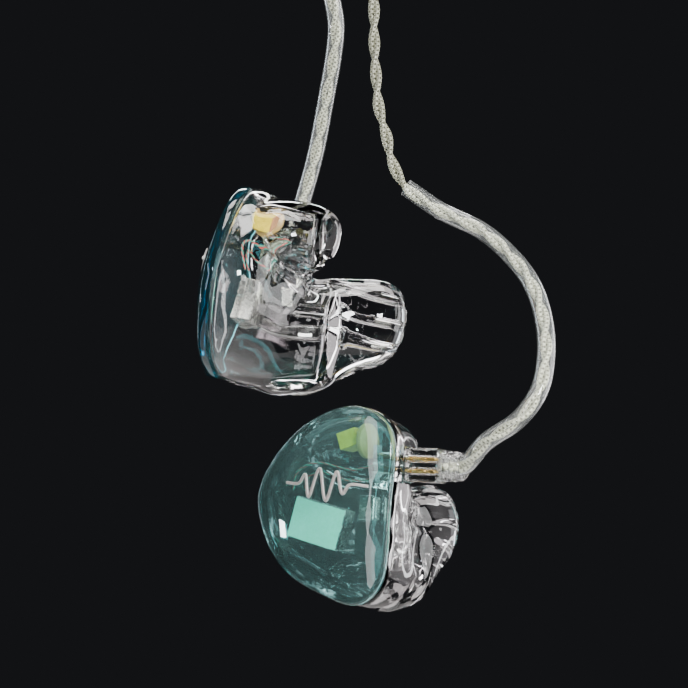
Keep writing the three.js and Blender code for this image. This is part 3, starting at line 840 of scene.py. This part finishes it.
def lobe_ring(level, inset, sides):
    depth, forward, up, half_width, half_height = level
    return [Vector((forward + (half_width - inset) * math.cos(a), depth,
                    up + (half_height - inset) * math.sin(a)))
            for a in (2 * math.pi * k / sides for k in range(sides))]


def remesh(obj, voxel, smoothing):
    """One even skin over overlapping solids, relaxed by some rounds of smoothing."""
    mod = obj.modifiers.new("remesh", "REMESH")
    mod.mode = "VOXEL"
    mod.voxel_size = voxel * MM
    mod.use_smooth_shade = True
    soft = obj.modifiers.new("smooth", "SMOOTH")
    soft.factor = 0.5
    soft.iterations = smoothing
    return apply_modifiers(obj)


def hollow_levels():
    """The shell's levels down to the end of the hollow, where they draw in to a rounded end."""
    start = HOLLOW_END - HOLLOW_ROUNDING
    kept = [level for level in smooth_levels(SHELL_LEVELS) if level[0] < start]
    end = kept[-1][1:]
    for k in range(1, 6):
        kept.append((start + HOLLOW_ROUNDING * math.sin(k / 5 * math.pi / 2), *end))
    hollow = [(kept[0][0] - 2.0, *kept[0][1:])]
    for *level, scale in kept:
        over = max(0.0, (level[0] - start) / HOLLOW_ROUNDING)
        hollow.append((*level, scale * (1 - 0.75 * over ** 4)))
    return hollow


# folds pressed into the outside by the outer ear: depth, angle round the shell, reach along
# each, and how far the surface moves, all in the ear frame
FOLDS = [
    (8.0, 58, 5.0, 13, -0.7), (10.5, 28, 6.5, 12, 0.5), (11.5, -2, 6.0, 13, -0.7),
    (9.5, -36, 5.0, 14, -0.7), (12.5, 118, 5.0, 15, -0.6), (9.5, 150, 5.5, 14, 0.5),
    (11.5, 184, 6.0, 15, -0.7), (14.0, 218, 6.0, 15, 0.6), (11.0, 250, 6.0, 14, -0.8),
    (14.5, 285, 5.0, 16, 0.6), (21.0, 200, 3.0, 26, -0.4), (20.5, 20, 3.0, 26, -0.4),
]


FOLD_SEED = 3
FOLD_CENTRE = (4.0, -1.5)
FLAT_EDGE = 0.6
FULL_FROM = 3.0
# size of the waves and how far they move the skin
BROAD_WAVES = (8.0, 0.22)
FINE_WAVES = (4.0, 0.03)


def press_folds(obj, seed):
    """Moves the skin in and out by the folds and a little seeded unevenness, not at the rim."""
    mesh = obj.data
    offset = Vector((seed * 7.3, seed * 3.1, seed * 5.7))
    normals = [vert.normal.copy() for vert in mesh.vertices]
    for vert, normal in zip(mesh.vertices, normals):
        p = vert.co / MM
        angle = math.degrees(math.atan2(p.z - FOLD_CENTRE[1], p.x - FOLD_CENTRE[0]))
        move = (noise.noise(p / BROAD_WAVES[0] + offset) * BROAD_WAVES[1]
                + noise.noise(p / FINE_WAVES[0] - offset) * FINE_WAVES[1])
        for depth, centre, reach, width, height in FOLDS:
            turn = (angle - centre + 180) % 360 - 180
            fall = ((p.y - depth) / reach) ** 2 + (turn / width) ** 2
            if fall < 6:
                move += height * math.exp(-fall)
        edge = min(max((p.y - FLAT_EDGE) / (FULL_FROM - FLAT_EDGE), 0.0), 1.0)
        vert.co += normal * (move * edge * MM)
    mesh.update()


def solid_shell(inset, voxel, smoothing, body_levels, lobe_levels, name):
    """Body and lobe blended into one smooth solid."""
    body = loft(name, [shell_ring(level, inset, 96) for level in body_levels])
    lobe = loft(name + "_lobe", [lobe_ring(level, inset, 64) for level in lobe_levels])
    return remesh(join(name, [body, lobe]), voxel, smoothing)


def make_ear_shell():
    """The right ear's shell in its ear frame: hollow, open at the faceplate, three bores."""
    levels = smooth_levels(SHELL_LEVELS + [SHELL_TIP])
    lobe = smooth_levels(LOBE_LEVELS + [LOBE_TIP])
    outer = solid_shell(0, *OUTER_SKIN, levels, lobe, "shell_outer")
    press_folds(outer, FOLD_SEED)
    lobe_hollow = [level for level in smooth_levels(LOBE_LEVELS) if level[0] < LOBE_HOLLOW_END]
    inner = solid_shell(WALL, *INNER_SKIN, hollow_levels(), lobe_hollow, "shell_inner")
    cut(outer, inner)
    window = rounded_box("window", (8, SOCKET_SIZE[1] + 0.6, SOCKET_SIZE[2] + 0.6),
                         (12, SOCKET[0], SOCKET[1]), 0.3)
    cut(outer, window)
    for height in TIP_BORES:
        cut(outer, lathe("bore", BORE_PROFILE, (CANAL_MIDDLE, BORE_START, height), (0, 1, 0),
                         sides=40))
    outer.data.set_sharp_from_angle(angle=math.radians(50))
    return outer


def make_shells():
    right = make_ear_shell()
    for side in ("right", "left"):
        mesh = right.data.copy()
        place = PLACES[side]
        mesh.transform(Matrix.Translation(place.to_translation() * MM)
                       @ place.to_3x3().to_4x4())
        shell = link(f"{side}_ear_shell", mesh)
        if side == "left":
            mesh.flip_normals()
        dress(shell, ACRYLIC, "acrylic", f"{side}_earpiece", f"{side}_shell")
        let_light_through(shell)
    bpy.data.objects.remove(right)


def plate_ring(share, lift, grow, sides=144):
    ring = []
    for k in range(sides):
        angle = 2 * math.pi * k / sides
        radius = share * plate_radius(angle) + grow
        x = PLATE_CENTRE[0] + radius * math.cos(angle)
        z = PLATE_CENTRE[1] + radius * math.sin(angle)
        ring.append(Vector((x, dome_depth(x, z) + lift, z)))
    return ring


def make_faceplate(side):
    """A domed plate of even thickness with a rounded edge."""
    shares = [0.01, 0.1, 0.2, 0.3, 0.4, 0.5, 0.6, 0.68, 0.76, 0.83, 0.89, 0.94]
    edge = [(0.0, -0.5), (0.04, -0.25), (0.16, -0.08), (0.35, 0.0)]
    rings = [plate_ring(share, 0, 0) for share in shares]
    rings += [plate_ring(1, lift, grow) for lift, grow in edge]
    rings += [plate_ring(1, PLATE_EDGE - lift, grow) for lift, grow in reversed(edge[1:])]
    rings += [plate_ring(share, PLATE_EDGE, 0) for share in reversed(shares)]
    plate = loft(f"{side}_plate", rings, PLACES[side])
    # the left plate takes the darker copy of the teal acrylic, as painted shade
    mat = TEAL if side == "right" else SHADED_TEAL
    dress(plate, mat, "teal_acrylic", f"{side}_earpiece", f"{side}_faceplate")
    let_light_through(plate)


# the inlay's course over the plate: forward, up
INLAY_LINE = [
    (-5.6, 3.0), (-3.0, 3.0), (-2.0, 4.4), (-0.8, 0.9), (0.7, 5.4), (2.5, 0.4), (4.0, 5.0),
    (5.3, 1.6), (6.3, 3.0), (9.2, 3.0),
]
INLAY_WIDTH = 0.46
INLAY_HEIGHT = 0.3
INLAY_BEVEL = 0.08
INLAY_SIDE = 0.2
INLAY_LIFT = 0.12


def make_inlay(side):
    """A thin metal line that follows the domed plate."""
    line = resample(catmull([(f, u, 0) for f, u in INLAY_LINE]), 0.16)
    half = INLAY_WIDTH / 2
    flat = half - INLAY_BEVEL
    section = [(-half, 0.0), (-half, INLAY_SIDE), (-flat, INLAY_HEIGHT), (0, INLAY_HEIGHT + 0.03),
               (flat, INLAY_HEIGHT), (half, INLAY_SIDE), (half, 0.0)]
    rings = []
    for i, p in enumerate(line):
        ahead = line[min(i + 1, len(line) - 1)] - line[max(i - 1, 0)]
        normal = Vector((-ahead.y, ahead.x, 0)).normalized()
        ring = []
        for across, lift in section:
            x, z = p.x + normal.x * across, p.y + normal.y * across
            ring.append(Vector((x, dome_depth(x, z) - INLAY_LIFT - lift, z)))
        rings.append(ring)
    inlay = loft(f"{side}_pulse_line", rings, PLACES[side])
    inlay.data.set_sharp_from_angle(angle=math.radians(35))
    dress(inlay, ROSE, "rose_metal", f"{side}_earpiece", f"{side}_inlay")


# ---------- inside each earpiece ----------
def paint(obj, mat, local, chosen):
    """Gives a second finish to the faces whose middles, in the piece's own frame, are chosen."""
    obj.data.materials.append(mat)
    inverse = local.inverted()
    for poly in obj.data.polygons:
        if chosen(inverse @ (poly.center / MM)):
            poly.material_index = 1


def make_can(side, kind, mat, slot_name, tilt=0.0):
    """A driver's can: a tray and a lid with a seam between them."""
    name = f"{side}_{kind}_can"
    local = (PLACES[side] @ Matrix.Translation(DRIVER_PLACES[kind])
             @ Matrix.Rotation(tilt, 4, "Y"))
    w, h, t = DRIVER_SIZES[kind]
    tray = rounded_box(name + "_tray", (w - 0.12, t * 0.62, h - 0.12), (0, t * 0.19, 0), 0.35,
                       local)
    lid = rounded_box(name + "_lid", (w, t * 0.36, h), (0, -t * 0.32, 0), 0.3, local)
    seam = rounded_box(name + "_seam", (w - 0.2, t * 0.9, h - 0.2), (0, 0, 0), 0.2, local)
    can = join(name, [tray, lid, seam])
    dress(can, mat, slot_name, f"{side}_earpiece", f"{side}_{kind}_driver")
    if kind == "bass":
        paint(can, MINT, local, lambda p: p.y < -t * 0.49)


def make_filter(side):
    """The round crossover board and the capacitor on it."""
    body, place = f"{side}_earpiece", PLACES[side]
    board = lathe(f"{side}_board_disc", [(0, 2.6), (0.08, 2.7), (0.72, 2.7), (0.8, 2.6)],
                  BOARD_PLACE, (1, 0, 0), place)
    dress(board, BOARD, "board", body, f"{side}_crossover_board")
    turn = Matrix.Rotation(CAPACITOR_TURN, 4, "Y")
    cap = rounded_box(f"{side}_cap_block", CAPACITOR_SIZE, CAPACITOR_PLACE, 0.2, place, turn)
    dress(cap, CAPACITOR, "capacitor_resin", body, f"{side}_capacitor")
    local = place @ Matrix.Translation(CAPACITOR_PLACE) @ turn
    paint(cap, BAND, local, lambda p: p.y > BAND_FROM)


def make_tubes(side):
    """The sound tubes, from the drivers to where they are bonded into the canal."""
    starts = {
        "treble_tube": [(2.6, 10.9, 0.4), (3.8, 13.6, 0.6)],
        "mid_tube": [(4.2, 10.6, -3.6), (4.8, 13.6, -3.0)],
        "bass_tube": [(-4.4, 6.4, -5.6), (-2.8, 9.0, -6.2), (1.4, 13.0, -5.9)],
    }
    for (name, start), height in zip(starts.items(), TIP_BORES):
        points = start + [(CANAL_MIDDLE, depth, height) for depth in (TUBE_END, 21.0, 26.0)]
        line = [p for p in resample(catmull(points), 0.4) if p.y < TUBE_END]
        tube = pipe(f"{side}_{name}_clear", line, TUBE_OUTER, TUBE_INNER, 28, (1, 0, 0),
                    PLACES[side])
        dress(tube, TUBE, "clear_tube", f"{side}_earpiece", f"{side}_{name}")
        let_light_through(tube)


def make_wires(side):
    """Two twisted pairs of fine wire from the socket; each pair is a red and a green strand."""
    back = SOCKET_FACE - PLATE_GAP - SOCKET_SIZE[0] - 0.6
    upper, lower = (SOCKET[1] + sign * PIN_PITCH / 2 for sign in (1, -1))
    wires = {
        "red_wire": (RED, GREEN, "red_enamel", [
            (back, SOCKET[0], upper), (4.2, 6.9, 7.4), (1.0, 4.6, 6.0), (-3.4, 2.0, 6.6),
            (-7.2, 2.2, 5.0), (-8.6, 3.4, 2.2)]),
        "green_wire": (GREEN, RED, "green_enamel", [
            (back, SOCKET[0], lower), (3.8, 5.4, 4.6), (0.2, 3.4, 4.4), (-3.0, 2.4, 5.2),
            (-5.4, 2.6, 4.2), (-6.4, 3.4, 2.3)]),
    }
    strands = [twist(k / 2, WIRE_STRAND, WIRE_PITCH) for k in range(2)]
    for name, (mat, other, slot_name, points) in wires.items():
        wire = rods(f"{side}_{name}_litz", resample(catmull(points), 0.2), strands, WIRE_STRAND, 8,
                    (0, 0, 1), PLACES[side])
        dress(wire, mat, slot_name, f"{side}_earpiece", f"{side}_{name}")
        wire.data.materials.append(other)
        half = len(wire.data.polygons) // 2
        for poly in wire.data.polygons:
            poly.material_index = 0 if poly.index < half else 1


# ---------- plugs and ear hooks ----------
def make_plug(side):
    """The clear plug, its two stepped pins and the stepped collar behind it."""
    place = PLACES[side]
    along = (1, 0, 0)
    pin_steps = [(-PIN_REACH, 0.05), (-PIN_REACH + 0.15, 0.26), (-PIN_REACH + 0.5, 0.39),
                 (0.3, 0.39), (0.3, 0.56), (0.9, 0.56), (0.9, 0.42), (1.3, 0.42), (1.3, 0.56),
                 (3.4, 0.56), (3.5, 0.46), (5.1, 0.46), (5.2, 0.3)]
    steps = [(0, 2.0), (0.15, 2.35), (0.8, 2.4), (0.85, 2.15), (1.15, 2.15), (1.2, 2.4),
             (1.9, 2.38), (1.95, 2.1), (2.25, 2.1), (2.3, 2.3), (3.1, 2.2), (3.4, 1.98)]
    block = rounded_box(f"{side}_plug_block", (PLUG_LENGTH, 3.6, 5.3),
                        (SOCKET_FACE + PLUG_LENGTH / 2, SOCKET[0], SOCKET[1]), 0.7, place)
    for number, sign in ((1, -1), (2, 1)):
        start = (SOCKET_FACE, SOCKET[0], SOCKET[1] + sign * PIN_PITCH / 2)
        cut(block, lathe("hole", [(-1, PIN_HOLE), (PLUG_LENGTH - 0.6, PIN_HOLE)], start, along,
                         place, 32))
        pin = lathe(f"{side}_pin_{number}", pin_steps, start, along, place, 32)
        pin.data.set_sharp_from_angle(angle=math.radians(40))
        dress(pin, GOLD, "gold_plate", "cable", f"{side}_plug_pin_{number}")
    block.data.set_sharp_from_angle(angle=math.radians(40))
    dress(block, PLUG, "acrylic", "cable", f"{side}_plug_housing")
    let_light_through(block)
    ring = collar(f"{side}_collar_ring", steps, 1.75,
                  (SOCKET_FACE + PLUG_LENGTH + PLATE_GAP, SOCKET[0], SOCKET[1]), along, place)
    ring.data.set_sharp_from_angle(angle=math.radians(50))
    dress(ring, PLUG, "acrylic", "cable", f"{side}_plug_collar")
    let_light_through(ring)


def make_hook(side):
    tube = pipe(f"{side}_hook_tube", resample(catmull(hook_route(side)), 0.6), HOOK_OUTER,
                HOOK_INNER, 40)
    tube.data.set_sharp_from_angle(angle=math.radians(60))
    dress(tube, HOOK, "clear_tube", "cable", f"{side}_ear_hook")
    let_light_through(tube)


def dress_cad():
    """The small CAD pieces that stay as they are, with their finishes."""
    looks = {"socket_body": SOCKET_RESIN, "socket_contact_1": CONTACT, "socket_contact_2": CONTACT,
             "mid_damper": STEEL, "bass_damper": STEEL}
    for side in ("right", "left"):
        for name, mat in looks.items():
            node = NODES[f"{side}_{name}"]
            node.data.materials.clear()
            node.data.materials.append(mat)


make_camera()
make_studio()
make_floor()
make_cords()
make_tie()
make_slider()
make_shells()
for ear in ("right", "left"):
    make_faceplate(ear)
    make_inlay(ear)
    make_can(ear, "bass", STEEL, "mint_can", BASS_TILT)
    make_can(ear, "mid", SMOKE, "steel_can")
    make_can(ear, "treble", STEEL, "steel_can")
    make_filter(ear)
    make_tubes(ear)
    make_wires(ear)
    make_plug(ear)
    make_hook(ear)
dress_cad()
